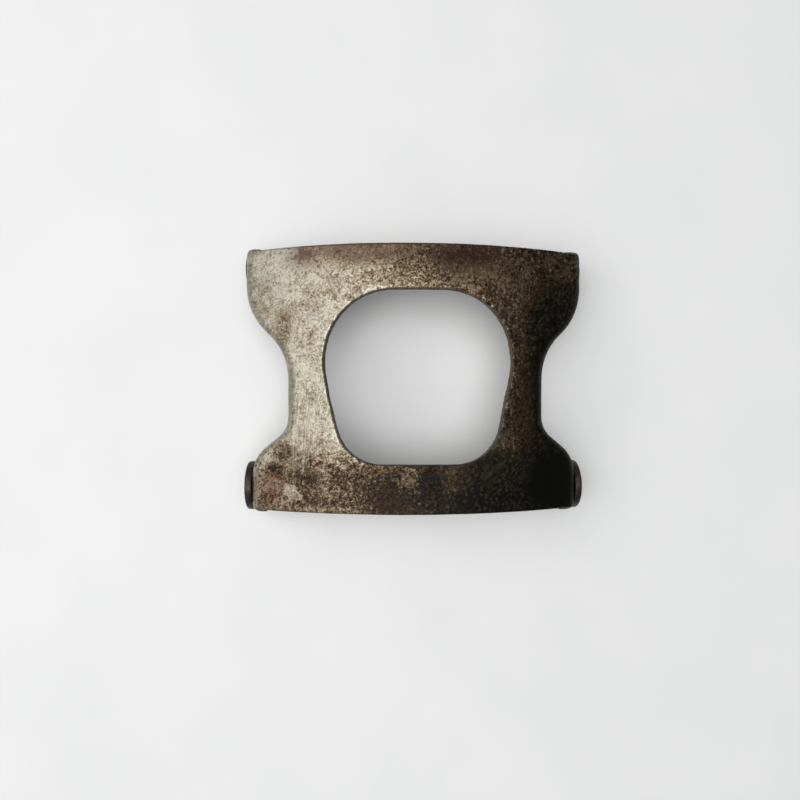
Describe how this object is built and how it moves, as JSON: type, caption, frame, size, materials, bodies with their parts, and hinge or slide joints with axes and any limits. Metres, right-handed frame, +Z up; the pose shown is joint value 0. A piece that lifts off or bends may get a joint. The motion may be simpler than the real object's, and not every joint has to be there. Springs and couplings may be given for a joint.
{
  "type": "fairlead chock",
  "caption": "Worn arched deck chock with a rounded window in its crown, standing on lugs that carry a free-turning roller on a riveted cross pin at each end.",
  "frame": {"origin": "middle of the bounding box's base, on the plane of the lug feet", "axes": "+X along the roller pins, +Y towards the inboard end, +Z up through the crown"},
  "size_m": [0.1514, 0.118, 0.044],
  "materials": {
    "saddle_steel": "worn and stained, bright where rubbed, rust blotched",
    "pin_steel": "blackened, rusty",
    "roller_steel": "dull, worn by rope",
    "bearing_bronze": "dull bronze"
  },
  "bodies": {
    "chock": {"saddle_frame": "saddle_steel", "outboard_pin": "pin_steel", "outboard_collar_left": "pin_steel", "outboard_washer_left": "bearing_bronze", "outboard_collar_right": "pin_steel", "outboard_washer_right": "bearing_bronze", "inboard_pin": "pin_steel", "inboard_collar_left": "pin_steel", "inboard_washer_left": "bearing_bronze", "inboard_collar_right": "pin_steel", "inboard_washer_right": "bearing_bronze"},
    "outboard_roller_set": {"outboard_roller": "roller_steel", "outboard_bush_left": "bearing_bronze", "outboard_bush_right": "bearing_bronze"},
    "inboard_roller_set": {"inboard_roller": "roller_steel", "inboard_bush_left": "bearing_bronze", "inboard_bush_right": "bearing_bronze"}
  },
  "joints": [
    {"name": "outboard_roller_spin", "type": "hinge", "parent": "chock", "child": "outboard_roller_set", "pos_m": [0, -0.0477, 0.0134], "axis": [1, 0, 0], "continuous": true},
    {"name": "inboard_roller_spin", "type": "hinge", "parent": "chock", "child": "inboard_roller_set", "pos_m": [0, 0.05, 0.0134], "axis": [1, 0, 0], "continuous": true}
  ]
}
